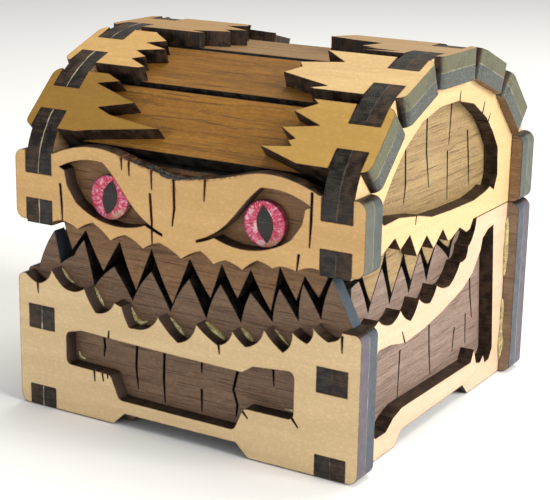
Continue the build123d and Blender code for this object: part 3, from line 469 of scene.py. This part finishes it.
def squeezeOut(name, drops, node, material=dried.material, between=5, smoothing=14, long=1.0):
    # a chain of drops, grown together into one lump that rides on a body
    shape = bmesh.new()
    chain = []
    for first, second in zip(drops, drops[1:]):
        for step in range(between):
            chain.append([a + (b - a) * (step / between) for a, b in zip(first, second)])
    for x, y, z, radius in chain + [drops[-1]]:
        ball = bmesh.ops.create_icosphere(shape, subdivisions=3, radius=radius * mm)["verts"]
        bmesh.ops.scale(shape, verts=ball, vec=(long, 1, 1))
        bmesh.ops.translate(shape, verts=ball, vec=(x * mm, y * mm, z * mm))
    rough = bpy.data.meshes.new(name + "_drops")
    shape.to_mesh(rough)
    shape.free()
    lump = bpy.data.objects.new(name + "_drops", rough)
    bpy.context.scene.collection.objects.link(lump)
    joinDrops = lump.modifiers.new("join", "REMESH")
    joinDrops.mode = "VOXEL"
    joinDrops.voxel_size = glue["voxel"] * mm
    settle = lump.modifiers.new("settle", "SMOOTH")
    settle.iterations = smoothing
    settled = lump.evaluated_get(bpy.context.evaluated_depsgraph_get())
    merged = bmesh.new()
    merged.from_mesh(settled.to_mesh())
    settled.to_mesh_clear()
    bpy.data.objects.remove(lump)
    bmesh.ops.recalc_face_normals(merged, faces=merged.faces)
    piece = solid(name, merged, material, smooth=True)
    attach(piece, node)


# down the right rear joint, as (z, radius)
joint = {"x": 37.55, "y": 31.95}
runs = {
    "low": [(3.2, 0.35), (4.6, 0.55), (6.2, 0.92), (7.6, 0.82), (9.0, 0.55), (11.0, 0.42), (13.0, 0.55),
            (15.0, 0.60), (16.8, 0.35)],
    "high": [(22.8, 0.35), (24.5, 0.55), (26.5, 0.72), (28.5, 0.80), (30.5, 0.66), (32.5, 0.60), (34.0, 0.58),
             (35.8, 0.32)],
}
for name, run in runs.items():
    squeezeOut(f"glue_corner_{name}", [(joint["x"], joint["y"], z, radius) for z, radius in run], "box")

# in the valleys of the gum line and the corners of the window under it, as (x, z, radius)
front = {"y": -37.85, "gumSwell": 1.2}
valleys = {
    "a": [(-31.0, 29.8, 0.20), (-30.2, 28.7, 0.34), (-29.4, 27.8, 0.30), (-28.2, 27.2, 0.20)],
    "b": [(-22.7, 27.1, 0.20), (-21.9, 25.8, 0.36), (-21.2, 24.6, 0.36), (-20.5, 23.6, 0.22)],
    "c": [(-13.5, 24.4, 0.20), (-12.9, 23.0, 0.38), (-12.2, 22.0, 0.52), (-11.0, 21.7, 0.46),
          (-9.6, 22.3, 0.22)],
    "d": [(-4.0, 24.0, 0.20), (-2.9, 23.0, 0.34), (-1.8, 22.0, 0.42), (-0.8, 21.2, 0.26)],
    "e": [(4.4, 24.6, 0.30), (5.4, 23.9, 0.56), (6.6, 23.2, 0.66), (7.8, 22.5, 0.50), (8.7, 22.1, 0.28)],
    "f": [(12.5, 24.9, 0.30), (13.3, 24.2, 0.52), (14.3, 23.6, 0.56), (15.0, 23.1, 0.32)],
    "g": [(20.1, 26.1, 0.18), (21.2, 25.1, 0.30), (22.3, 24.2, 0.30), (23.1, 23.6, 0.18)],
}
planks = {
    "left": [(-26.9, 12.6, 0.20), (-26.6, 11.5, 0.42), (-25.4, 11.2, 0.26)],
    "right": [(22.6, 10.6, 0.22), (24.6, 10.7, 0.46), (25.5, 11.6, 0.24)],
}
for name, drops in valleys.items():
    squeezeOut(f"glue_gum_{name}", [(x, front["y"], z, front["gumSwell"] * radius) for x, z, radius in drops],
               "box")
for name, drops in planks.items():
    squeezeOut(f"glue_plank_{name}", [(x, front["y"], z, radius) for x, z, radius in drops], "box")


# the brow's top edge is burnt to a flaking crust
burnt = {"black": (0.005, 0.004, 0.003), "brown": (0.040, 0.024, 0.016), "relief": 0.08}
crust = Recipe("burnt_crust")
flake = crust.stretch(crust.where.outputs["Object"], inMm)
ashes = crust.noise(flake, scale=2.4, detail=3, rough=0.7)
crust.set("Base Color", crust.mix(crust.fade(ashes, 0.50, 0.70), burnt["black"], burnt["brown"]))
crust.set("Roughness", crust.fade(ashes, 0.3, 0.7, 0.30, 0.55))
crust.set("Normal", crust.bump(ashes, burnt["relief"] * mm, 0.8))

# "rise" is the height of the edge over its middle, as (distance from the middle, height)
brow = {
    "mid": 53.35, "rise": ((0.0, 0.0), (6.0, 0.85), (11.5, 2.05)), "face": -40.85, "from": -12.0, "to": 6.5,
    "flakes": 44, "inset": (0.1, 1.3), "lift": (-0.30, 0.14), "spread": (0.5, 1.3), "long": 2.2,
    "thin": 0.16, "extra": 0.30, "thickest": -2.5, "tapers": 10,
}
chance = random.Random(11)
drops = []
for step in range(brow["flakes"]):
    x = brow["from"] + (brow["to"] - brow["from"]) * step / (brow["flakes"] - 1)
    (x0, z0), (x1, z1) = brow["rise"][:2] if abs(x) < brow["rise"][1][0] else brow["rise"][1:]
    top = brow["mid"] + z0 + (z1 - z0) * (abs(x) - x0) / (x1 - x0)
    swell = brow["thin"] + brow["extra"] * max(0.0, 1 - abs(x - brow["thickest"]) / brow["tapers"])
    drops.append((x, brow["face"] + chance.uniform(*brow["inset"]), top + chance.uniform(*brow["lift"]),
                  swell * chance.uniform(*brow["spread"])))
squeezeOut("brow_crust", drops, "lid", crust.material, between=1, smoothing=2, long=brow["long"])
print("glue set")


# the hinges: drawn brass, brushed and slightly tarnished
brass = {
    "bright": (0.78, 0.56, 0.24), "dull": (0.42, 0.27, 0.10), "rough": 0.30, "relief": 0.02, "seedStep": 4.1,
}


def brassMetal(name, seed):
    r = Recipe(name)
    place = r.stretch(r.where.outputs["Object"], inMm, (seed, 0, 0))
    brushed = r.noise(r.stretch(place, (0.25, 6, 6)), detail=2)
    tarnish = r.noise(r.stretch(place, (0.35, 0.35, 0.35)), detail=4, rough=0.65)
    r.set("Base Color", r.mix(r.fade(tarnish, 0.42, 0.68), brass["bright"], brass["dull"]))
    r.set("Metallic", 1.0)
    r.set("Roughness", r.fade(tarnish, 0.35, 0.7, brass["rough"], brass["rough"] + 0.25))
    r.set("Normal", r.bump(brushed, brass["relief"] * mm, 0.5))
    return r.material


hinges = [f"hinge_{part}_{side}" for side in ("left", "right") for part in ("leaf_body", "leaf_lid", "pin")]
for node in hinges + ["hinge_nails_body", "hinge_nails_lid"]:
    seed += brass["seedStep"]
    dress(node, brassMetal(node + "_brass", seed))
print("hinges dressed")


# table top and light
studio = {
    "floor": (0.88, 0.895, 0.92), "floorCloud": (0.80, 0.80, 0.80), "floorRough": 0.8, "floorHalf": 3.0,
    "floorDrop": 0.0002, "world": (1.0, 1.0, 1.0, 1.0), "worldLight": 0.42,
}
shape = bmesh.new()
bmesh.ops.create_grid(shape, x_segments=1, y_segments=1, size=studio["floorHalf"])
bmesh.ops.translate(shape, verts=shape.verts, vec=(0, 0, -studio["floorDrop"]))
floorMesh = bpy.data.meshes.new("tableTop")
shape.to_mesh(floorMesh)
shape.free()
tableTop = bpy.data.objects.new("tableTop", floorMesh)
bpy.context.scene.collection.objects.link(tableTop)
paper = Recipe("paper")
tone = paper.noise(paper.where.outputs["Object"], scale=6, detail=2)
paper.set("Base Color", paper.mix(paper.fade(tone, 0.3, 0.7, 0.0, 0.03), studio["floor"], studio["floorCloud"]))
paper.set("Roughness", studio["floorRough"])
floorMesh.materials.append(paper.material)

world = bpy.data.worlds.new("softRoom")
bpy.context.scene.world = world
world.use_nodes = True
background = world.node_tree.nodes["Background"]
background.inputs["Color"].default_value = studio["world"]
background.inputs["Strength"].default_value = studio["worldLight"]

lights = {
    "windowRight": {
        "at": (0.78, -0.02, 0.40), "to": (0, 0, 0.04), "size": (0.45, 0.45),
        "watts": 10.0, "colour": (1.0, 0.96, 0.88),
    },
    "lampTop": {
        "at": (0.05, 0.30, 0.72), "to": (0, 0, 0.06), "size": (0.5, 0.5),
        "watts": 4.0, "colour": (1.0, 0.93, 0.80),
    },
    "tableGlow": {
        "at": (-0.16, -0.80, 0.11), "to": (0, 0, 0.03), "size": (0.9, 0.20),
        "watts": 2.0, "colour": (1.0, 0.99, 0.97),
    },
}
for name, light in lights.items():
    data = bpy.data.lights.new(name, "AREA")
    data.shape = "RECTANGLE"
    data.size, data.size_y = light["size"]
    data.energy = light["watts"]
    data.color = light["colour"]
    lamp = bpy.data.objects.new(name, data)
    lamp.location = light["at"]
    aim = Vector(light["to"]) - Vector(light["at"])
    lamp.rotation_euler = aim.to_track_quat("-Z", "Y").to_euler()
    bpy.context.scene.collection.objects.link(lamp)
bpy.context.scene.view_settings.view_transform = "Standard"
print("stage lit")


# the camera of the photograph
shot = {
    "at": (0.1594, -0.2739, 0.1193), "ahead": (-0.49032, 0.82808, -0.27179), "roll": 1.08,
    "lens": 99.8, "sensor": 36, "nearest": 0.01,
}
ahead = Vector(shot["ahead"]).normalized()
level = ahead.cross(Vector((0, 0, 1))).normalized()
above = level.cross(ahead)
roll = math.radians(shot["roll"])
sideways = level * math.cos(roll) + above * math.sin(roll)
upward = above * math.cos(roll) - level * math.sin(roll)
lensData = bpy.data.cameras.new("photoCamera")
lensData.sensor_width = shot["sensor"]
lensData.lens = shot["lens"]
lensData.clip_start = shot["nearest"]
camera = bpy.data.objects.new("photoCamera", lensData)
camera.matrix_world = Matrix((
    (sideways.x, upward.x, -ahead.x, shot["at"][0]),
    (sideways.y, upward.y, -ahead.y, shot["at"][1]),
    (sideways.z, upward.z, -ahead.z, shot["at"][2]),
    (0, 0, 0, 1),
))
bpy.context.scene.collection.objects.link(camera)
bpy.context.scene.camera = camera
print("camera set")

bpy.context.view_layer.update()
